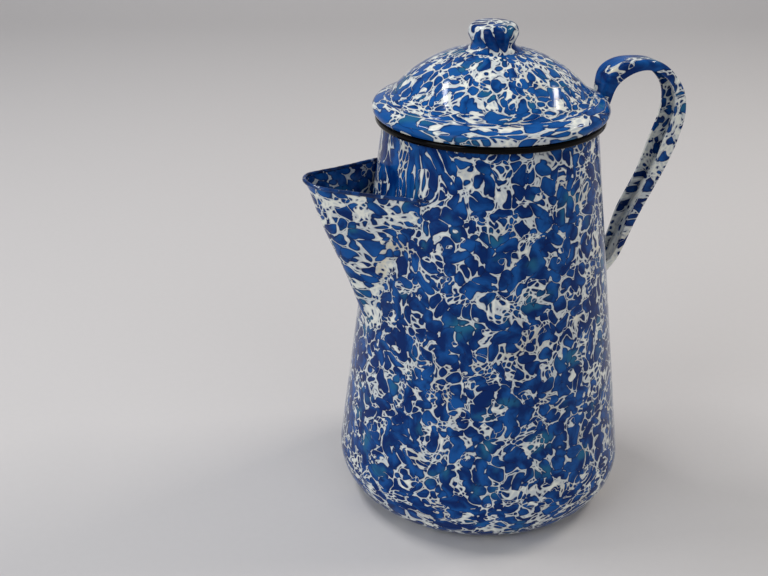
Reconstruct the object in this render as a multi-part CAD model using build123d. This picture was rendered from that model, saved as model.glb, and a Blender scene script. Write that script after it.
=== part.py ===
"""Enamelled steel coffee percolator: a tapered pot, its lid, and the pump and basket that stand inside it.

Millimetres. The pot stands on z = 0 with its axis on Z. The spout points to -X and the handle to +X.
Turned parts are drawn as (radius, height) in the XZ plane and revolved about Z.
"""
from build123d import *
from math import acos, asin, atan2, cos, degrees, pi, radians, sin, sqrt, tan
import os

# Pot body
SHEET = 0.8                # enamelled sheet
FOOT_RADIUS = 51.9         # flat circle that the pot stands on
HEEL_RADIUS = 20.5         # round corner between base and wall
TAPER = radians(7.28)      # lean of the wall
BODY_TOP = 195.0           # where the wall runs into the mouth bead
SEAM_HEIGHT = 12.0         # joint of base pan and wall, on the heel
SEAM_GROOVE = 0.35

# Mouth bead
BEAD_RADIUS = 53.9
BEAD_TOP = 198.4

# Pressed ring that stiffens the flat base
RING_INNER = 34.5
RING_OUTER = 39.5
RING_RISE = 0.7

# Lid
LID_GAP = 0.3              # between the bead and the lid's edge
LID_EDGE_CENTRE = (51.8, 201.3)
LID_EDGE_ROUND = 3.4       # round of the lid's edge
DOME_CENTRE_HEIGHT = 168.8
DOME_RADIUS = 60.6
DOME_FOOT = 45.0           # radius where the dome turns into the flange
FLANGE_SLOPE = 0.404       # fall of the flange per mm outwards
CREASE_ROUND = 2.0
COLLAR_RADIUS = 48.4
COLLAR_DEPTH = 10.0        # reach below the bead's top

# Knob: corners of its outline from the top down, and the round of each
KNOB_TOP = 240.5
KNOB_CORNER = (11.0, 239.7)
KNOB_BULGE = (11.6, 234.9)
KNOB_NECK = (9.2, 229.6)
KNOB_ROUNDS = (3.4, 2.6, 2.4)
KNOB_BASE = 13.4
KNOB_CAVITY = 7.6

# Spout, at each height: half-angle where it meets the wall, reach from the axis, and round of its nose
SPOUT_STATIONS = (
    (91.0, 8.0, 60.5, 8.5),
    (105.0, 9.7, 64.2, 8.7),
    (119.0, 13.5, 69.0, 9.2),
    (133.0, 18.0, 74.5, 10.0),
    (147.0, 25.0, 80.5, 11.2),
    (160.0, 31.5, 85.2, 12.6),
    (171.0, 38.0, 88.8, 13.8),
    (181.0, 43.0, 95.6, 14.6),
)
SPOUT_RIM_AT_WALL = 171.4
SPOUT_RIM_AT_TIP = 176.0
SPOUT_REACH = 92.5
SPOUT_RIM_SAG = 1.1

# Strainer holes behind the spout: height, and how many holes side by side
STRAINER_ROWS = ((160.0, 5), (149.0, 4), (138.0, 3), (127.0, 2), (116.0, 1))
STRAINER_HOLE = 2.3        # radius
STRAINER_PITCH = 10.5
STRAINER_DRILL = 20.0      # length of the cut through the wall

# Handle: a channel, open towards the pot
HANDLE_WIDTH = 13.5
HANDLE_SHEET = 1.2
HANDLE_EDGE_ROUND = 2.2
HANDLE_BACK = (
    (49.0, 184.5), (54.9, 195.0), (56.4, 203.0), (58.3, 213.0), (65.5, 217.4), (75.0, 217.9),
    (86.0, 215.8), (95.0, 209.0), (101.0, 200.0), (102.9, 190.5), (100.9, 178.5), (95.2, 163.4),
    (86.4, 146.6), (77.4, 128.0), (71.0, 114.6), (65.8, 108.9), (58.0, 103.5),
)
HANDLE_EDGE = (
    (49.0, 176.5), (55.0, 188.0), (59.2, 198.0), (62.3, 206.2), (68.5, 211.0), (78.0, 212.9),
    (87.5, 209.4), (94.5, 201.0), (95.6, 191.0), (91.4, 176.8), (84.6, 156.7), (74.8, 136.5),
    (70.6, 123.0), (66.5, 116.4), (58.0, 111.5),
)

# Pump
FLOOR_GAP = 0.2            # between the pot's floor and the foot
PUMP_SHEET = 0.8
TUBE_RADIUS = 5.5
TUBE_TOP = 205.0
FOOT_FLANGE = 33.0
FOOT_FLANGE_WIDTH = 3.0
FOOT_NECK_HEIGHT = 15.0
FOOT_SOCKET_HEIGHT = 24.0
INLET_COUNT = 6
INLET_WIDTH = 7.0
INLET_HEIGHT = 2.6
STOP_RADIUS = 8.5
STOP_BOTTOM = 127.6
STOP_HEIGHT = 3.0

# Grounds basket and its cover
SLIDE_GAP = 0.3            # between the tube and what slides on it
BASKET_SHEET = 0.8
BASKET_RADIUS = 40.0
BASKET_FLOOR = 131.0
BASKET_TOP = 181.0
BASKET_CORNER = 4.0
BASKET_LIP = 1.6
BASKET_HOLE = 1.0          # radius
BASKET_HOLE_ROWS = (12.5, 17.5, 22.5, 27.5, 32.5)
BASKET_HOLE_PITCH = 5.0
SLEEVE_TOP = 174.0
COVER_REST = 0.3           # between basket lip and cover
COVER_RADIUS = 42.4
COVER_WELL = 37.5
COVER_DROP = 3.0
COVER_HOLE_ROWS = (13.0, 18.5, 24.0, 29.0, 34.0)
COVER_COLLAR_TOP = 188.0

# Worked out from the above
HEEL_TOP = HEEL_RADIUS * (1 + sin(TAPER))
SEAM_ANGLE = asin(SEAM_HEIGHT / HEEL_RADIUS - 1)


def wall_radius(z):
    """Outer radius of the tapered wall at height z."""
    return FOOT_RADIUS + HEEL_RADIUS * cos(TAPER) - (z - HEEL_TOP) * tan(TAPER)


def dome_height(radius):
    """Height of the lid's outer dome at a radius."""
    return DOME_CENTRE_HEIGHT + sqrt(DOME_RADIUS**2 - radius**2)


def turned(*edges):
    """Solid of revolution about Z, from the closed outline that the edges make."""
    return revolve(Plane.XZ * make_face(edges), Axis.Z)


def ring(inner, outer, bottom, top):
    """Plain ring about Z, or a disc where inner is 0."""
    return turned(Polyline((inner, bottom), (outer, bottom), (outer, top), (inner, top), close=True))


def beside(path, at, distance):
    """Point at a distance to the left of a path, at a fraction of its length."""
    along = path % at
    return path @ at + Vector(-along.Y, along.X) * distance


def thickened(path, thickness):
    """Edges of the closed outline of a sheet that lies to the left of a smooth path of lines and arcs."""
    edges = Wire(path.edges()).order_edges()
    outline = list(edges)
    for edge in edges:
        points = [beside(edge, at, thickness) for at in (0, 0.5, 1)]
        is_line = edge.geom_type == GeomType.LINE
        outline.append(Line(points[0], points[2]) if is_line else ThreePointArc(*points))
    outline.append(Line(edges[0] @ 0, beside(edges[0], 0, thickness)))
    outline.append(Line(edges[-1] @ 1, beside(edges[-1], 1, thickness)))
    return outline


def heel_point(angle, radius):
    """Point on the heel at an angle above level, at a radius from the heel's centre."""
    return (FOOT_RADIUS + radius * cos(angle), HEEL_RADIUS + radius * sin(angle))


def heel_arc(start, end, radius):
    return CenterArc((FOOT_RADIUS, HEEL_RADIUS), radius, degrees(start), degrees(end - start))


def make_base_pan():
    """Flat base with one pressed ring, turned up into the lower heel."""
    inside = HEEL_RADIUS - SHEET
    low, high = -pi / 2, SEAM_ANGLE - SEAM_GROOVE / HEEL_RADIUS / 2
    under = Polyline((0, 0), (RING_INNER, 0), (RING_INNER + RING_RISE, RING_RISE),
                     (RING_OUTER - RING_RISE, RING_RISE), (RING_OUTER, 0), (FOOT_RADIUS, 0))
    floor = Pos(0, SHEET) * under
    seam = Line(heel_point(high, HEEL_RADIUS), heel_point(SEAM_ANGLE, inside))
    axis = Line((0, 0), (0, SHEET))
    return turned(*under.edges(), heel_arc(low, high, HEEL_RADIUS), seam,
                  heel_arc(low, SEAM_ANGLE, inside), *floor.edges(), axis)


def make_body_shell():
    """Upper heel and tapered wall, with the strainer holes behind the spout."""
    inside = HEEL_RADIUS - SHEET
    low = SEAM_ANGLE + SEAM_GROOVE / HEEL_RADIUS / 2
    outer_foot, inner_foot = heel_point(TAPER, HEEL_RADIUS), heel_point(TAPER, inside)
    outer_top = (wall_radius(BODY_TOP), BODY_TOP)
    inner_top = (wall_radius(BODY_TOP) - SHEET / cos(TAPER), BODY_TOP)
    shell = turned(
        heel_arc(low, TAPER, HEEL_RADIUS), Line(outer_foot, outer_top), Line(outer_top, inner_top),
        Line(inner_top, inner_foot), heel_arc(SEAM_ANGLE, TAPER, inside),
        Line(heel_point(SEAM_ANGLE, inside), heel_point(low, HEEL_RADIUS)))
    return shell - strainer_holes()


def strainer_holes():
    holes = []
    for height, count in STRAINER_ROWS:
        step = STRAINER_PITCH / wall_radius(height)
        for index in range(count):
            angle = degrees((index - (count - 1) / 2) * step)
            drill = Rot(Y=90) * Cylinder(STRAINER_HOLE, STRAINER_DRILL)
            holes.append(Rot(Z=180 + angle) * Pos(wall_radius(height), 0, height) * drill)
    return holes


def make_mouth_bead():
    """Rolled edge round the mouth, drawn as a closed roll."""
    inner = wall_radius(BODY_TOP) - SHEET / cos(TAPER)
    roll = RectangleRounded(BEAD_RADIUS - inner, BEAD_TOP - BODY_TOP, 1.2)
    outline = Pos((inner + BEAD_RADIUS) / 2, (BODY_TOP + BEAD_TOP) / 2) * roll
    neck = Pos(inner + 1.2, BODY_TOP + 0.6) * Rectangle(2.4, 1.2)
    return revolve(Plane.XZ * (outline + neck), Axis.Z)


def pot_block():
    """Solid cone filled out to the wall's outer surface, for trimming what is joined to it."""
    top = BODY_TOP + 10
    return turned(Polyline((0, 60), (wall_radius(60), 60), (wall_radius(top), top), (0, top), close=True))


def spout_section(height, half_angle, reach, nose, inset):
    """Level slice of the spout: two straight sides drawn to a round nose."""
    contact = Vector(cos(radians(half_angle)), sin(radians(half_angle))) * min(wall_radius(height), reach)
    centre = Vector(reach - nose, 0)
    span = contact - centre
    normal_angle = atan2(span.Y, span.X) - acos(nose / span.length)
    normal = Vector(cos(normal_angle), sin(normal_angle))
    touch = centre + normal * (nose - inset)
    side_end = contact + (contact - centre - normal * nose).normalized() * 1.0 - normal * inset
    root = side_end * (0.8 if inset == 0 else 0.7)

    def mirrored(point):
        return Vector(point.X, -point.Y)

    outline = [
        Line(side_end, touch), ThreePointArc(touch, centre + Vector(nose - inset, 0), mirrored(touch)),
        Line(mirrored(touch), mirrored(side_end)), Line(mirrored(side_end), mirrored(root)),
        Line(mirrored(root), root), Line(root, side_end)]
    return Pos(0, 0, height) * make_face(outline)


def spout_block(inset):
    return loft([spout_section(*station, inset) for station in SPOUT_STATIONS])


def make_spout():
    """Bent sheet with an open top, trimmed to the wall behind and to its rising rim above."""
    middle = ((SPOUT_REACH + wall_radius(SPOUT_RIM_AT_WALL)) / 2,
              (SPOUT_RIM_AT_WALL + SPOUT_RIM_AT_TIP) / 2 - SPOUT_RIM_SAG)
    rise = (SPOUT_RIM_AT_TIP - SPOUT_RIM_AT_WALL) / (SPOUT_REACH - 40)
    low = (20, SPOUT_RIM_AT_WALL - 20 * rise)
    high = (110, SPOUT_RIM_AT_TIP + (110 - SPOUT_REACH) * rise)
    frame = Polyline(high, (110, 230), (20, 230), low)
    above = make_face([ThreePointArc(low, middle, high), *frame.edges()])
    trim = cross_bar(above, 160)
    return Rot(Z=180) * (spout_block(0) - spout_block(SHEET) - trim - pot_block())


def cross_bar(face, width):
    """A face drawn in the XZ plane, extruded to a width that is centred on y = 0."""
    return Pos(0, width / 2) * extrude(Plane.XZ * face, width)


def make_handle():
    """Pressed channel with its web outside and its two flanges turned in towards the pot."""
    back, edge = Spline(*HANDLE_BACK), Spline(*HANDLE_EDGE)
    side = make_face([back, edge, Line(back @ 0, edge @ 0), Line(back @ 1, edge @ 1)])
    strap = cross_bar(side, HANDLE_WIDTH)
    web_edges = [e for e in strap.edges() if abs(e.length - back.length) < 0.5]
    strap = fillet(web_edges, HANDLE_EDGE_ROUND)
    inner = Spline(*[beside(back, step / 30, -HANDLE_SHEET) for step in range(31)])
    recess = cross_bar(make_face([inner, Line(inner @ 0, inner @ 1)]), HANDLE_WIDTH - 2 * HANDLE_SHEET)
    return strap - recess - pot_block()


def lid_path():
    """Outer line of the lid from its edge, over the flange and up the dome to the axis."""
    rim_r, rim_z = LID_EDGE_CENTRE
    start = degrees(-asin((rim_z - BEAD_TOP - LID_GAP) / LID_EDGE_ROUND))
    end = 90 - degrees(atan2(FLANGE_SLOPE, 1))
    edge = CenterArc(LID_EDGE_CENTRE, LID_EDGE_ROUND, start, end - start)
    dome_start = degrees(acos(DOME_FOOT / DOME_RADIUS))
    dome = CenterArc((0, DOME_CENTRE_HEIGHT), DOME_RADIUS, dome_start, 90 - dome_start)
    top, foot = edge @ 1, dome @ 0
    fall = DOME_FOOT / (foot.Y - DOME_CENTRE_HEIGHT)
    crease_r = (foot.Y + fall * foot.X - top.Y - FLANGE_SLOPE * top.X) / (fall - FLANGE_SLOPE)
    crease = (crease_r, top.Y + FLANGE_SLOPE * (top.X - crease_r))
    flange = FilletPolyline(top, crease, foot, radius=CREASE_ROUND)
    return edge + flange + dome


def make_lid_shell():
    """Domed lid with a sloping flange and a rounded, turned-down edge."""
    path = lid_path()
    return turned(*thickened(path, SHEET))


def make_lid_collar(lid):
    """Collar that drops into the mouth and keeps the lid in place, trimmed to the lid's underside."""
    inside_sheet = dome_height(COLLAR_RADIUS) - SHEET / 2
    return ring(COLLAR_RADIUS - SHEET, COLLAR_RADIUS, BEAD_TOP - COLLAR_DEPTH, inside_sheet) - lid


def make_knob():
    """Waisted hollow knob, flared at its base to sit on the dome."""
    base = (KNOB_BASE, dome_height(KNOB_BASE))
    outside = FilletPolyline((0, KNOB_TOP), KNOB_CORNER, KNOB_BULGE, KNOB_NECK, base, radius=KNOB_ROUNDS)
    cavity_top = KNOB_TOP - 2.2
    cavity = (KNOB_CAVITY, dome_height(KNOB_CAVITY))
    inside = FilletPolyline(cavity, (KNOB_CAVITY, cavity_top), (0, cavity_top), radius=3.0)
    start, end = (degrees(acos(r / DOME_RADIUS)) for r in (KNOB_BASE, KNOB_CAVITY))
    seat = CenterArc((0, DOME_CENTRE_HEIGHT), DOME_RADIUS, start, end - start)
    return turned(*outside.edges(), Line((0, KNOB_TOP), (0, cavity_top)), *inside.edges(), seat)


def make_pump_tube():
    return ring(TUBE_RADIUS - PUMP_SHEET, TUBE_RADIUS, FOOT_NECK_HEIGHT, TUBE_TOP)


def make_pump_foot():
    """Bell that stands on the floor, with inlet notches round its flange and a socket for the tube."""
    floor = SHEET + FLOOR_GAP
    path = FilletPolyline(
        (FOOT_FLANGE, floor + PUMP_SHEET), (FOOT_FLANGE - FOOT_FLANGE_WIDTH, floor + PUMP_SHEET),
        (FOOT_FLANGE * 0.66, FOOT_NECK_HEIGHT * 0.72), (TUBE_RADIUS + PUMP_SHEET, FOOT_NECK_HEIGHT),
        (TUBE_RADIUS + PUMP_SHEET, FOOT_SOCKET_HEIGHT), radius=2.5)
    bell = turned(*thickened(path, PUMP_SHEET))
    notch = Pos(FOOT_FLANGE, 0, floor) * Box(24, INLET_WIDTH, 2 * INLET_HEIGHT)
    return bell - [Rot(Z=360 / INLET_COUNT * (i + 0.5)) * notch for i in range(INLET_COUNT)]


def make_basket_stop():
    """Collar fixed on the tube, which the basket's sleeve rests on."""
    bead = ring(TUBE_RADIUS, STOP_RADIUS, STOP_BOTTOM, STOP_BOTTOM + STOP_HEIGHT)
    return chamfer(bead.edges().filter_by(GeomType.CIRCLE).group_by(SortBy.RADIUS)[-1], 0.8)


def sieve(radii, pitch, bottom, top):
    """Drills for rings of small holes about the axis."""
    spots = []
    for radius in radii:
        spots += PolarLocations(radius, round(2 * pi * radius / pitch))
    holes = Sketch() + [Pos(0, 0, bottom) * spot * Circle(BASKET_HOLE) for spot in spots]
    return extrude(holes, top - bottom)


def make_basket():
    """Drawn cup with a perforated floor and a rolled lip."""
    bore = TUBE_RADIUS + SLIDE_GAP + BASKET_SHEET
    path = FilletPolyline((bore, BASKET_FLOOR), (BASKET_RADIUS, BASKET_FLOOR), (BASKET_RADIUS, BASKET_TOP),
                          radius=BASKET_CORNER)
    cup = turned(*thickened(path, BASKET_SHEET))
    lip = turned(CenterArc((BASKET_RADIUS, BASKET_TOP), BASKET_LIP, 0, 360))
    return cup + lip - sieve(BASKET_HOLE_ROWS, BASKET_HOLE_PITCH, BASKET_FLOOR - 1, BASKET_FLOOR + 2)


def make_basket_sleeve():
    """Tube through the basket, flanged over its floor."""
    bore = TUBE_RADIUS + SLIDE_GAP
    return ring(bore, bore + BASKET_SHEET, BASKET_FLOOR - 0.2, SLEEVE_TOP)


def make_basket_cover():
    """Dished spreader with a rim over the basket's lip and a collar round the tube."""
    collar = TUBE_RADIUS + SLIDE_GAP + BASKET_SHEET
    rest = BASKET_TOP + BASKET_LIP + COVER_REST
    rim, well = rest + BASKET_SHEET, rest + BASKET_SHEET - COVER_DROP
    path = FilletPolyline(
        (COVER_RADIUS, rest - 1.5), (COVER_RADIUS, rim), (COVER_WELL, rim), (COVER_WELL, well),
        (collar, well), (collar, COVER_COLLAR_TOP), radius=0.7)
    spreader = turned(*thickened(path, BASKET_SHEET))
    return spreader - sieve(COVER_HOLE_ROWS, BASKET_HOLE_PITCH + 0.5, well - 5, rim + 2)


def make_parts():
    lid = make_lid_shell()
    return {
        "body_shell": make_body_shell(),
        "base_pan": make_base_pan(),
        "mouth_bead": make_mouth_bead(),
        "spout": make_spout(),
        "handle": make_handle(),
        "lid_shell": lid,
        "lid_collar": make_lid_collar(lid),
        "knob": make_knob(),
        "pump_tube": make_pump_tube(),
        "pump_foot": make_pump_foot(),
        "basket_stop": make_basket_stop(),
        "basket": make_basket(),
        "basket_sleeve": make_basket_sleeve(),
        "basket_cover": make_basket_cover(),
    }


os.makedirs("parts", exist_ok=True)
for name, shape in make_parts().items():
    export_step(shape, f"parts/{name}.step")
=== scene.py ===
"""Swirl-enamelled coffee percolator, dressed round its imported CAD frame. Metres, +Z up."""
import math

import bmesh
import bpy
from mathutils import Matrix, Vector
from mathutils.bvhtree import BVHTree


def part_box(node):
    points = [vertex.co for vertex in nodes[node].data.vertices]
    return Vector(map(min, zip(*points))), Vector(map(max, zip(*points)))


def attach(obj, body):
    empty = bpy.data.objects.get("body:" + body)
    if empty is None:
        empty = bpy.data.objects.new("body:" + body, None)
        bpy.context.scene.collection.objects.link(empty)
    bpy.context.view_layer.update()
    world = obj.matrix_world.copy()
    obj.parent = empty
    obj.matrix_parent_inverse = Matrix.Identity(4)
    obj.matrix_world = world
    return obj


MM = 0.001

# Places on the pot, in mm
WALL_SLOPE = 0.1277        # the wall's fall inwards per mm of height
WALL_FOOT = 75.2           # the wall's radius, carried down to the floor
SPOUT_CENTRE = 58.0        # from the pot's axis to the middle of the spout's outline, towards -X
HANDLE_MIDDLE = 140.0      # height between the handle's two roots


# ---------------------------------------------------------------- shader helpers

class Shader:
    """A thin hand over one material's node tree, so that a texture reads as a formula."""

    def __init__(self, name):
        self.material = bpy.data.materials.new(name)
        self.material.use_nodes = True
        self.tree = self.material.node_tree
        self.surface = self.tree.nodes["Principled BSDF"]

    def node(self, kind, **inputs):
        made = self.tree.nodes.new(kind)
        for key, value in inputs.items():
            self.feed(made.inputs[key.replace("_", " ")], value)
        return made

    def feed(self, socket, value):
        if isinstance(value, bpy.types.NodeSocket):
            self.tree.links.new(value, socket)
        else:
            socket.default_value = value

    def calc(self, operation, first, second=0.0, third=0.0):
        made = self.tree.nodes.new("ShaderNodeMath")
        made.operation = operation
        for socket, value in zip(made.inputs, (first, second, third)):
            self.feed(socket, value)
        return made.outputs[0]

    def vector(self, operation, first, second=None, result="Vector"):
        made = self.tree.nodes.new("ShaderNodeVectorMath")
        made.operation = operation
        self.feed(made.inputs[0], first)
        if second is not None:
            self.feed(made.inputs["Scale" if operation == "SCALE" else 1], second)
        return made.outputs[result]

    def length(self, at):
        return self.vector("LENGTH", at, result="Value")

    def place(self):
        """The surface point, in metres."""
        return self.tree.nodes.new("ShaderNodeTexCoord").outputs["Object"]

    def place_mm(self):
        return self.vector("SCALE", self.place(), 1 / MM)

    def facing(self):
        """The surface's outward direction."""
        return self.tree.nodes.new("ShaderNodeTexCoord").outputs["Normal"]

    def split(self, at):
        return self.node("ShaderNodeSeparateXYZ", Vector=at).outputs

    def joined(self, x, y, z):
        return self.node("ShaderNodeCombineXYZ", X=x, Y=y, Z=z).outputs[0]

    def past(self, value, limit, slope):
        """slope times the part of value that is over limit."""
        over = self.calc("MAXIMUM", self.calc("SUBTRACT", value, limit), 0.0)
        return self.calc("MULTIPLY", over, slope)

    def noise(self, at, size, detail=2.0, roughness=0.5, colour=False):
        """Smooth noise from 0 to 1; size is its grain, in the unit of the coordinates."""
        made = self.node("ShaderNodeTexNoise", Vector=at, Scale=1 / size, Detail=detail, Roughness=roughness)
        return made.outputs["Color" if colour else 0]

    def cells(self, at, size, feature="F1"):
        """Cells round scattered points; Distance is counted in cell sizes."""
        made = self.node("ShaderNodeTexVoronoi", Vector=at, Scale=1 / size, Randomness=1.0)
        made.feature = feature
        if feature == "SMOOTH_F1":
            self.feed(made.inputs["Smoothness"], 1.0)
        return made

    def ramp(self, value, low, high):
        """0 below low, 1 above high, smooth between."""
        made = self.tree.nodes.new("ShaderNodeMapRange")
        made.interpolation_type = "SMOOTHSTEP"
        for socket, item in zip(made.inputs, (value, low, high)):
            self.feed(socket, item)
        return made.outputs[0]

    def blend(self, share, first, second):
        """Mixes two colours."""
        made = self.tree.nodes.new("ShaderNodeMix")
        made.data_type = "RGBA"
        self.feed(made.inputs[0], share)
        self.feed(made.inputs[6], first)
        self.feed(made.inputs[7], second)
        return made.outputs[2]

    def bump(self, height, depth, under=None):
        made = self.node("ShaderNodeBump", Height=height, Distance=depth, Strength=1.0)
        if under is not None:
            self.feed(made.inputs["Normal"], under)
        return made.outputs[0]

    def set(self, **inputs):
        for key, value in inputs.items():
            self.feed(self.surface.inputs[key.replace("_", " ")], value)


# Colours of the enamel
COBALT = (0.001, 0.021, 0.125, 1)
LIGHT_BLUE = (0.008, 0.090, 0.33, 1)
TEAL = (0.016, 0.125, 0.25, 1)
INK = (0.002, 0.010, 0.065, 1)
MILK = (0.84, 0.84, 0.76, 1)
CREAM = (0.66, 0.58, 0.42, 1)
SHADE = (0.40, 0.46, 0.54, 1)

# Pattern of the enamel, in mm
HAIRLINE = 0.12            # white line that is left between crowded drops
SPECK = 2.6                # spacing of the smallest drops
SWIRLS = ((15.0, 11.0), (8.0, 6.0), (3.6, 1.2))      # grain and reach of what bends the drops


def drops(s, at, size, vein, radius):
    """Signed width in mm of round drops on a ground: positive inside a drop, negative between drops.

    The drops are cells with rounded corners, cut back by half the vein's width from each other and by a
    radius about their centres.
    """
    nearest = s.cells(at, size).outputs["Distance"]
    smoothed = s.cells(at, size, "SMOOTH_F1").outputs["Distance"]
    dip = s.calc("SQRT", s.calc("MAXIMUM", s.calc("SUBTRACT", nearest, smoothed), 0.0))
    gap = s.calc("MULTIPLY_ADD", dip, -math.sqrt(2.0) * size, 0.5 * size)
    inside = s.calc("MULTIPLY_ADD", nearest, -2.0 * size, s.calc("MULTIPLY", radius, 2.0))
    return s.calc("SMOOTH_MIN", s.calc("SUBTRACT", gap, vein), inside, 1.6)


def drop_field(s, at, bent, cell, white):
    """Signed width in mm of all drops: large ones, smaller ones that fill the room left, then specks."""
    def clear_of(field, margin):
        """Positive where there is room for a smaller drop, a margin away from the larger ones."""
        return s.calc("SUBTRACT", s.calc("MULTIPLY", field, -1.0), margin)

    # The white between large drops swells into pools, thins to a hairline, and closes where drops fuse
    flow = s.noise(s.vector("ADD", at, (310, 170, 50)), 6.5, 1.0)
    pool = s.calc("MULTIPLY_ADD", flow, 9.0, s.calc("SUBTRACT", white, 5.0))
    fused = s.ramp(s.noise(s.vector("ADD", at, (140, 230, 90)), 8.0, 1.0), 0.46, 0.58)
    hairline = s.calc("MINIMUM", s.calc("ADD", pool, 2.2), HAIRLINE)
    vein = s.calc("MULTIPLY_ADD", fused, -0.9, s.calc("SMOOTH_MAX", pool, hairline, 0.3))
    radius = s.calc("MULTIPLY_ADD", vein, -0.35, 0.82 * cell)

    # Large drops give way to clusters of small ones here and there
    crowd = s.calc("MULTIPLY_ADD", flow, 0.7, s.noise(s.vector("ADD", at, (90, 20, 260)), 11.0, 1.0))
    cluster = s.ramp(crowd, 0.95, 1.03)
    large = s.calc("SUBTRACT", drops(s, bent, cell, vein, radius), s.calc("MULTIPLY", cluster, 9.0))

    fine_vein = s.calc("SMOOTH_MAX", s.calc("MULTIPLY_ADD", pool, 0.5, 0.3), HAIRLINE, 0.3)
    middling = drops(s, s.vector("ADD", bent, (37, 11, 5)), 0.50 * cell, fine_vein, 0.36 * cell)
    field = s.calc("MAXIMUM", large, s.calc("MINIMUM", middling, clear_of(large, 0.8)))

    specks = s.cells(bent, SPECK)
    speck_radius = s.calc("MULTIPLY_ADD", specks.outputs["Color"], 1.5, -0.85)
    speck = s.calc("SUBTRACT", speck_radius, s.calc("MULTIPLY", specks.outputs["Distance"], SPECK))
    speck = s.calc("MINIMUM", s.calc("MULTIPLY", speck, 2.0), clear_of(field, 1.1))
    return s.calc("MAXIMUM", field, speck)


def drop_colour(s, at, bent, field, pale):
    """Blue inside the drops, cloudy and darker at their edges."""
    depth = s.noise(s.vector("ADD", bent, (20, 80, 140)), 8.0, 3.0)
    teal = s.ramp(s.noise(s.vector("ADD", at, (80, 30, 10)), 16.0, 2.0), 0.56, 0.72)
    colour = s.blend(s.ramp(depth, 0.38 - pale, 0.70 - pale), COBALT, LIGHT_BLUE)
    colour = s.blend(teal, colour, TEAL)
    return s.blend(s.calc("MULTIPLY", s.ramp(field, 1.1, 0.0), 0.8), colour, INK)


def ground_colour(s, at, field):
    """Milk white with creamy patches, tinted blue beside the drops."""
    colour = s.blend(s.ramp(s.noise(at, 26.0, 2.0), 0.54, 0.74), MILK, CREAM)
    return s.blend(s.calc("MULTIPLY", s.ramp(field, -1.4, -0.1), 0.6), colour, SHADE)


def enamel(name, mapped, cell, white=0.0, opening=None, pale=0.0):
    """Swirled enamel: blue drops crowded on milk white, run together where the white between them closes.

    mapped gives the pattern's own coordinates in mm, cell is the large drops' size in mm, white opens the
    veins between drops in mm, and opening does so from place to place. pale lightens the blue.
    """
    s = Shader(name)
    at = mapped(s)
    bent = at
    for grain, reach in SWIRLS:
        push = s.vector("SUBTRACT", s.noise(at, grain, 0.0, colour=True), (0.5, 0.5, 0.5))
        bent = s.vector("ADD", bent, s.vector("SCALE", push, reach))
    if opening is not None:
        white = s.calc("ADD", opening(s), white)

    field = drop_field(s, at, bent, cell, white)
    blue = s.ramp(field, -0.14, 0.16)
    colour = s.blend(blue, ground_colour(s, at, field), drop_colour(s, at, bent, field, pale))
    skin = s.calc("MULTIPLY_ADD", blue, 0.30, s.noise(at, 18.0, 1.0))
    fine = s.noise(at, 1.6, 2.0)
    s.set(Base_Color=colour, Roughness=s.calc("MULTIPLY_ADD", fine, 0.06, 0.05), Specular_IOR_Level=0.11,
          Normal=s.bump(fine, 0.010 * MM, s.bump(skin, 0.12 * MM)))
    return s.material


def body_map(s):
    """The body's own coordinates, drawn out round the heel and drawn upwards behind the open spout."""
    x, y, z = s.split(s.place_mm())
    narrow = s.calc("MULTIPLY_ADD", s.ramp(z, 32.0, 12.0), -0.30, 1.0)
    behind_spout = s.ramp(x, -30.0, -42.0)
    lift = s.calc("MULTIPLY", s.past(z, 165.0, -0.45), behind_spout)
    return s.joined(s.calc("MULTIPLY", x, narrow), s.calc("MULTIPLY", y, narrow), s.calc("ADD", z, lift))


def body_opening(s):
    """More white at the heel and towards the handle, and less behind the open spout."""
    x, y, z = s.split(s.place_mm())
    heel = s.ramp(z, 34.0, 10.0)
    side = s.calc("MULTIPLY", s.ramp(x, 5.0, 60.0), 0.75)
    behind_spout = s.calc("MULTIPLY", s.ramp(x, -30.0, -42.0), s.ramp(z, 158.0, 172.0))
    return s.calc("ADD", s.calc("ADD", heel, side), s.calc("MULTIPLY", behind_spout, -0.2))


def lid_map(s):
    """Coordinates drawn out down the dome, then into streaks round the flange."""
    x, y, z = s.split(s.place_mm())
    radius = s.length(s.joined(x, y, 0.0))
    crowded = s.calc("MULTIPLY", s.calc("POWER", s.calc("MAXIMUM", radius, 4.0), -0.2), 2.5)
    narrow = s.calc("MULTIPLY", s.calc("MULTIPLY_ADD", s.ramp(radius, 41.0, 52.0), -0.55, 1.0), crowded)
    outward = s.calc("ADD", s.past(radius, 34.0, 1.05), 40.0)
    edge = s.past(s.calc("MULTIPLY", z, -1.0), -204.0, 1.3)
    return s.joined(s.calc("MULTIPLY", x, narrow), s.calc("MULTIPLY", y, narrow), s.calc("ADD", edge, outward))


def spout_map(s):
    """The body's coordinates, drawn out towards the spout's tip from the wall outwards."""
    x, y, z = s.split(s.place_mm())
    radius_at_foot = s.calc("MULTIPLY_ADD", z, WALL_SLOPE, s.length(s.joined(x, y, 0.0)))
    outside_wall = s.past(radius_at_foot, WALL_FOOT, 1.0)
    return s.joined(s.calc("MULTIPLY_ADD", outside_wall, 0.35, x), y, z)


def spout_opening(s):
    """White outside and mostly blue inside, told apart by which way the surface faces."""
    x, y, z = s.split(s.place_mm())
    from_centre = s.joined(s.calc("ADD", x, SPOUT_CENTRE), y, 0.0)
    outward = s.vector("DOT_PRODUCT", s.facing(), from_centre, result="Value")
    return s.calc("MULTIPLY_ADD", s.ramp(outward, -1.0, 1.0), 1.7, -0.8)


def handle_map(s):
    """Coordinates drawn out into streaks along the handle's top."""
    x, y, z = s.split(s.place_mm())
    drawn = s.calc("ADD", s.calc("MULTIPLY_ADD", x, 0.5, 700.0), s.past(x, 88.0, 0.5))
    return s.joined(drawn, y, z)


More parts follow.
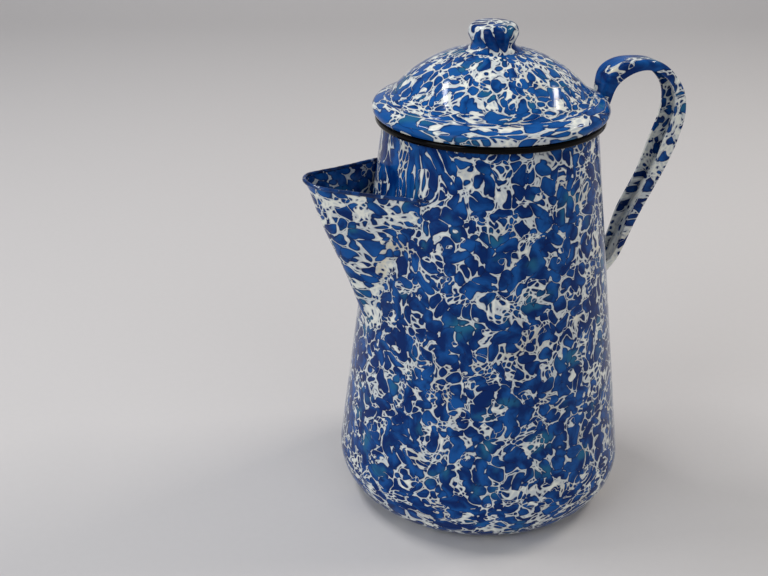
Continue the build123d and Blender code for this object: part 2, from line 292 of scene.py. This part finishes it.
def handle_opening(s):
    """Nearly all blue over the top, then white with scattered drops, fewest inside the channel."""
    x, y, z = s.split(s.place_mm())
    to_pot = s.calc("MULTIPLY", s.split(s.facing())["X"], -1.0)
    channel = s.ramp(to_pot, 0.3, 0.7)
    top = s.calc("MULTIPLY", s.ramp(z, 186.0, 206.0), s.ramp(x, 99.0, 84.0))
    return s.calc("ADD", s.calc("MULTIPLY_ADD", top, -4.8, 1.2), channel)


def knob_map(s):
    """Coordinates a little drawn out over the knob."""
    x, y, z = s.split(s.place_mm())
    return s.joined(s.calc("ADD", x, 40.0), s.calc("MULTIPLY", y, 0.8), s.calc("MULTIPLY", z, 0.8))


def hem_enamel():
    """Dark blue where the enamel runs thin and burns over the rolled edge."""
    s = Shader("hem_enamel")
    at = s.place_mm()
    smear = s.noise(at, 5.0, 3.0)
    colour = s.blend(s.ramp(smear, 0.38, 0.60), (0.003, 0.012, 0.060, 1), (0.003, 0.045, 0.19, 1))
    colour = s.blend(s.ramp(s.noise(at, 3.0, 2.0), 0.62, 0.70), colour, SHADE)
    s.set(Base_Color=colour, Roughness=s.calc("MULTIPLY_ADD", smear, 0.10, 0.06), Specular_IOR_Level=0.35,
          Normal=s.bump(s.noise(at, 2.5, 1.0), 0.06 * MM))
    return s.material


def black_enamel():
    """Glossy black of the mouth bead."""
    s = Shader("black_enamel")
    at = s.place()
    smear = s.noise(at, 6 * MM, 3.0)
    black = s.blend(s.ramp(smear, 0.4, 0.8), (0.0006, 0.0005, 0.0008, 1), (0.0025, 0.0012, 0.001, 1))
    s.set(Base_Color=black,
          Roughness=s.calc("MULTIPLY_ADD", smear, 0.08, 0.03), Specular_IOR_Level=0.08,
          Normal=s.bump(s.noise(at, 8 * MM, 1.0), 0.12 * MM))
    return s.material


def spun_aluminium():
    """Satin aluminium with fine turning marks round the axis, dulled by use."""
    s = Shader("spun_aluminium")
    at = s.place()
    x, y, z = s.split(at)
    radius = s.length(s.joined(x, y, 0.0))
    marks = s.noise(s.joined(radius, 0.0, z), 0.35 * MM, 3.0, 0.65)
    stain = s.noise(at, 12 * MM, 4.0, 0.6)
    dull = s.blend(s.ramp(stain, 0.35, 0.75), (0.79, 0.80, 0.81, 1), (0.55, 0.53, 0.49, 1))
    s.set(Base_Color=dull, Metallic=1.0, Roughness=s.calc("MULTIPLY_ADD", stain, 0.22, 0.22),
          Normal=s.bump(marks, 0.02 * MM, s.bump(stain, 0.05 * MM)))
    return s.material


def matte(name, colour, roughness):
    """Plain surface with a faint grain."""
    s = Shader(name)
    at = s.place()
    grain = s.noise(at, 4 * MM, 3.0)
    other = (*(0.97 * channel for channel in colour[:3]), 1)
    s.set(Base_Color=s.blend(grain, colour, other), Roughness=roughness)
    return s.material


def dress(obj, material):
    obj.data.materials.clear()
    obj.data.materials.append(material)


# ---------------------------------------------------------------- hems and enamelled joints

TOUCH = 0.10 * MM          # how near two parts' faces are where they meet
SINK = 0.30 * MM           # how deep a joint's hidden edges lie in the sheet
PROUD = 0.02 * MM          # how far a joint's skin stands off the corner's curve
STEP = 1.0 * MM            # between a joint's rings, along its run
FILLET_STEPS = 8
SPOUT_FILLET = 2.0 * MM
HANDLE_FILLET = 1.6 * MM
HEM_RADIUS = 0.92 * MM
HEM_INSET = 0.30 * MM      # from the rim's outer edge in to the hem's centre
HEM_DROP = 0.15 * MM
HEM_TAPER = 7 * MM         # length over which the hem thins towards the wall
HEM_SIDES = 14


def merged(node):
    """The node's mesh as one connected skin."""
    skin = bmesh.new()
    skin.from_mesh(node.data)
    bmesh.ops.remove_doubles(skin, verts=skin.verts, dist=0.002 * MM)
    skin.normal_update()
    return skin


def surface_of(node):
    """Search tree over the node's skin."""
    skin = merged(node)
    tree = BVHTree.FromBMesh(skin)
    skin.free()
    return tree


def chains(edges):
    """Orders loose edges into runs of points."""
    links = {}
    for edge in edges:
        first, second = edge.verts
        links.setdefault(first, []).append(second)
        links.setdefault(second, []).append(first)
    runs, used = [], set()
    for start in sorted(links, key=lambda v: (len(links[v]), v.index)):
        if start in used:
            continue
        run, current = [], start
        while current is not None:
            used.add(current)
            run.append(current.co.copy())
            current = next((v for v in links[current] if v not in used), None)
        runs.append(run)
    return runs


def evened(points, step, rounds=3):
    """The same run with evenly spaced points, smoothed a little."""
    lengths = [0.0]
    for first, second in zip(points, points[1:]):
        lengths.append(lengths[-1] + (second - first).length)
    count = max(4, round(lengths[-1] / step))
    even, at = [], 0
    for index in range(count + 1):
        target = lengths[-1] * index / count
        while at < len(points) - 2 and lengths[at + 1] < target:
            at += 1
        span = max(lengths[at + 1] - lengths[at], 1e-9)
        even.append(points[at].lerp(points[at + 1], min(max((target - lengths[at]) / span, 0.0), 1.0)))
    for _ in range(rounds):
        inner = [(a + 2 * b + c) / 4 for a, b, c in zip(even, even[1:], even[2:])]
        even = [even[0], *inner, even[-1]]
    return even


def edge_runs(node, is_end, is_outer):
    """Runs of the edges between the faces that is_end picks and their neighbours that is_outer picks."""
    skin = merged(node)
    ends = {face for face in skin.faces if is_end(face)}
    edges = []
    for edge in skin.edges:
        others = [face for face in edge.link_faces if face not in ends]
        if len(edge.link_faces) == 2 and len(others) == 1 and is_outer(others[0]):
            edges.append(edge)
    runs = [run for run in chains(edges) if len(run) > 5]
    skin.free()
    return runs


def meeting(node, wall, is_outer):
    """Runs of points where a node's outer skin meets the wall."""
    def is_end(face):
        for vert in face.verts:
            nearest = wall.find_nearest(vert.co)
            if nearest[3] > TOUCH:
                return False
        return face.normal.dot(nearest[1]) < -0.5
    return edge_runs(node, is_end, is_outer)


def skinned(name, rings, material):
    """Closed piece of the pot's enamel through rings of points, capped at both ends."""
    size = len(rings[0])
    verts = [point for ring in rings for point in ring]
    faces = []
    for row in range(len(rings) - 1):
        for index in range(size):
            following = (index + 1) % size
            faces.append((row * size + index, row * size + following,
                          (row + 1) * size + following, (row + 1) * size + index))
    faces.append(tuple(range(size))[::-1])
    faces.append(tuple(len(verts) - size + index for index in range(size)))
    mesh = bpy.data.meshes.new(name)
    mesh.from_pydata(verts, [], faces)
    skin = bmesh.new()
    skin.from_mesh(mesh)
    bmesh.ops.recalc_face_normals(skin, faces=skin.faces)
    skin.to_mesh(mesh)
    skin.free()
    mesh.shade_smooth()
    piece = bpy.data.objects.new(name, mesh)
    bpy.context.scene.collection.objects.link(piece)
    piece.data.materials.append(material)
    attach(piece, "pot")


def direction(line, index):
    """Unit vector along a run of points at one of them."""
    return (line[min(index + 1, len(line) - 1)] - line[max(index - 1, 0)]).normalized()


def end_distance(line, index):
    return min(index, len(line) - 1 - index) * STEP


def make_fillet(name, run, wall, part, size, centre, material):
    """Concave run of enamel in the corner between the wall and a part that stands on it."""
    line = evened(run, STEP)
    rings = []
    for index, corner in enumerate(line):
        along = direction(line, index)
        normal = Vector((corner.x, corner.y, 0.127 * math.hypot(corner.x, corner.y))).normalized()
        away = along.cross(normal)
        if away.dot(corner - centre) < 0:
            away.negate()
        reach = size * (0.25 + 0.75 * min(1.0, end_distance(line, index) / (2 * size)))
        on_wall = wall.find_nearest(corner + away * reach)[0]
        on_part = part.find_nearest(corner + normal * reach + away * 0.4 * reach)[0]
        ring = [on_wall - normal * SINK]
        for t in (step / FILLET_STEPS for step in range(FILLET_STEPS + 1)):
            curve = on_wall * (1 - t)**2 + corner * 2 * t * (1 - t) + on_part * t**2
            ring.append(curve + (away + normal) * PROUD)
        ring.append(on_part - away * SINK)
        ring.append(corner - (normal + away) * SINK)
        rings.append(ring)
    skinned(name, rings, material)


def make_hem(name, run, material):
    """Rolled hem along the spout's rim, a little uneven, its ends let into the wall."""
    line = evened(run, STEP)
    inward = []
    for index, point in enumerate(line):
        side = direction(line, index).cross(Vector((0, 0, 1))).normalized()
        if side.dot(Vector((-SPOUT_CENTRE * MM, 0, point.z)) - point) < 0:
            side.negate()
        inward.append(side)
    centres = [point + side * HEM_INSET - Vector((0, 0, HEM_DROP)) for point, side in zip(line, inward)]
    turns = [2 * math.pi * step / HEM_SIDES for step in range(HEM_SIDES)]
    rings = []
    for index, (centre, side) in enumerate(zip(centres, inward)):
        up = direction(centres, index).cross(side).normalized()
        taper = 0.35 + 0.65 * min(1.0, end_distance(centres, index) / HEM_TAPER)
        swell = HEM_RADIUS * taper * (1 + 0.08 * math.sin(index * 0.9) * math.sin(index * 0.37))
        rings.append([centre + (side * math.cos(turn) + up * math.sin(turn)) * swell for turn in turns])
    skinned(name, rings, material)


def make_spout_joint(nodes, wall, finish, hem_finish):
    """Fillet where the spout meets the wall, and the hem along the spout's rim."""
    spout_centre = Vector((-SPOUT_CENTRE * MM, 0, 0))

    def spout_outside(face):
        middle = face.calc_center_median()
        return face.normal.xy.dot((middle - spout_centre).xy) > 0

    run = max(meeting(nodes["spout"], wall, spout_outside), key=len)
    make_fillet("spout_joint", run, wall, surface_of(nodes["spout"]), SPOUT_FILLET,
                Vector((-52 * MM, 0, 150 * MM)), finish)

    rim_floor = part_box("spout")[1].z - 11 * MM
    rim = edge_runs(nodes["spout"], lambda f: f.normal.z > 0.85 and f.calc_center_median().z > rim_floor,
                    spout_outside)
    make_hem("spout_hem", max(rim, key=len), hem_finish)


def make_handle_joints(nodes, wall, finish):
    """Fillets round the handle's two roots."""
    def is_low(point):
        return point.z < HANDLE_MIDDLE * MM

    def handle_outside(face):
        middle = face.calc_center_median()
        slant = -1 if is_low(middle) else 1
        outer_edge = slant * (face.normal.z - face.normal.x) > 0.3
        return face.normal.y * middle.y > 0.5 * abs(middle.y) or outer_edge

    handle = surface_of(nodes["handle"])
    for run in meeting(nodes["handle"], wall, handle_outside):
        middle = sum(run, Vector()) / len(run)
        name, lift = ("handle_joint_low", 2 * MM) if is_low(middle) else ("handle_joint_top", -2 * MM)
        centre = Vector((middle.x, 0, middle.z + lift))
        make_fillet(name, run, wall, handle, HANDLE_FILLET, centre, finish)


# ---------------------------------------------------------------- stage

CAMERA_PLACE = (-216.4 * MM, -476.1 * MM, 352.2 * MM)
CAMERA_HEADING = math.radians(19.0)      # turned from +Y towards +X
CAMERA_PITCH = math.radians(25.19)
CAMERA_LENS = 53.9


def make_camera():
    data = bpy.data.cameras.new("camera")
    data.sensor_width = 36
    data.lens = CAMERA_LENS
    data.clip_start = 0.01
    camera = bpy.data.objects.new("camera", data)
    camera.location = CAMERA_PLACE
    camera.rotation_euler = (math.pi / 2 - CAMERA_PITCH, 0, -CAMERA_HEADING)
    bpy.context.scene.collection.objects.link(camera)
    bpy.context.scene.camera = camera


def add_area(name, place, target, size, power, long_axis=(0, 0, 1), colour=(1, 1, 1)):
    """Rectangular light; its size is (across, along the long axis)."""
    data = bpy.data.lights.new(name, "AREA")
    data.shape = "RECTANGLE"
    data.size, data.size_y = size
    data.energy = power
    data.color = colour
    back = (Vector(place) - Vector(target)).normalized()
    across = Vector(long_axis).cross(back).normalized()
    along = back.cross(across)
    light = bpy.data.objects.new(name, data)
    light.matrix_world = Matrix.Translation(place) @ Matrix((across, along, back)).transposed().to_4x4()
    bpy.context.scene.collection.objects.link(light)


def make_stage():
    """Pale floor that turns up into a plain backdrop, and an even sky."""
    bend, half, near, far, top = 0.5, 4.0, -3.0, 1.6, 3.0
    bend_steps = 16
    outline = [(near, 0.0), (far - bend, 0.0)]
    for i in range(1, bend_steps + 1):
        angle = math.pi / 2 * i / bend_steps
        outline.append((far - bend + bend * math.sin(angle), bend - bend * math.cos(angle)))
    outline.append((far, top))
    heading = -CAMERA_HEADING
    verts = []
    for y, z in outline:
        for x in (-half, half):
            verts.append((x * math.cos(heading) - y * math.sin(heading),
                          x * math.sin(heading) + y * math.cos(heading), z))
    faces = [(2 * i, 2 * i + 1, 2 * i + 3, 2 * i + 2) for i in range(len(outline) - 1)]
    mesh = bpy.data.meshes.new("floor")
    mesh.from_pydata(verts, [], faces)
    mesh.shade_smooth()
    floor = bpy.data.objects.new("floor", mesh)
    bpy.context.scene.collection.objects.link(floor)
    floor.data.materials.append(matte("backdrop", (0.62, 0.60, 0.60, 1), 0.7))
    world = bpy.data.worlds.new("studio")
    world.use_nodes = True
    sky = world.node_tree.nodes["Background"]
    sky.inputs["Color"].default_value = (0.80, 0.82, 0.86, 1)
    sky.inputs["Strength"].default_value = 0.36
    bpy.context.scene.world = world
    bpy.context.scene.view_settings.view_transform = "Standard"


# ---------------------------------------------------------------- scene

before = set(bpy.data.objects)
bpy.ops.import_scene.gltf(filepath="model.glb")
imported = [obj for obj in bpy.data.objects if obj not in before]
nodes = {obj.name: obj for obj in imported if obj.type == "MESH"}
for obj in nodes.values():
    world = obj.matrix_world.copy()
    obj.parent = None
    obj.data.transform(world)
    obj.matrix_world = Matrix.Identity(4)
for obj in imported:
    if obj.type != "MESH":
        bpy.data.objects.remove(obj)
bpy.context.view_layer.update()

make_camera()
make_stage()
add_area("tube_left", (-0.52, 0.43, 1.26), (0, 0, 0.2), (0.07, 0.62), 7, (-0.52, -0.85, 0))
add_area("tube_right", (0.93, 0.03, 1.04), (0, 0, 0.2), (0.08, 0.50), 6, (-0.19, -0.98, 0), (1.0, 0.95, 0.86))
add_area("window_left", (-1.5, -0.5, 0.9), (0, 0, 0.1), (1.3, 1.0), 12, colour=(0.92, 0.97, 1.0))
add_area("fill_front", (0.5, -1.9, 1.5), (0, 0, 0.1), (1.6, 1.2), 6)

body_enamel = enamel("body_enamel", body_map, cell=6.3, white=-0.95, opening=body_opening)
lid_enamel = enamel("lid_enamel", lid_map, cell=6.5, white=0.5, pale=0.12)
spout_enamel = enamel("spout_enamel", spout_map, cell=6.3, opening=spout_opening, pale=0.06)
handle_enamel = enamel("handle_enamel", handle_map, cell=6.0, opening=handle_opening)
knob_enamel = enamel("knob_enamel", knob_map, cell=7.0, white=0.2)
black = black_enamel()
aluminium = spun_aluminium()
finishes = {
    "body_shell": body_enamel, "base_pan": body_enamel, "spout": spout_enamel, "handle": handle_enamel,
    "lid_shell": lid_enamel, "lid_collar": lid_enamel, "knob": knob_enamel, "mouth_bead": black,
}
for name, node in nodes.items():
    dress(node, finishes.get(name, aluminium))
wall = surface_of(nodes["body_shell"])
make_spout_joint(nodes, wall, spout_enamel, hem_enamel())
make_handle_joints(nodes, wall, body_enamel)
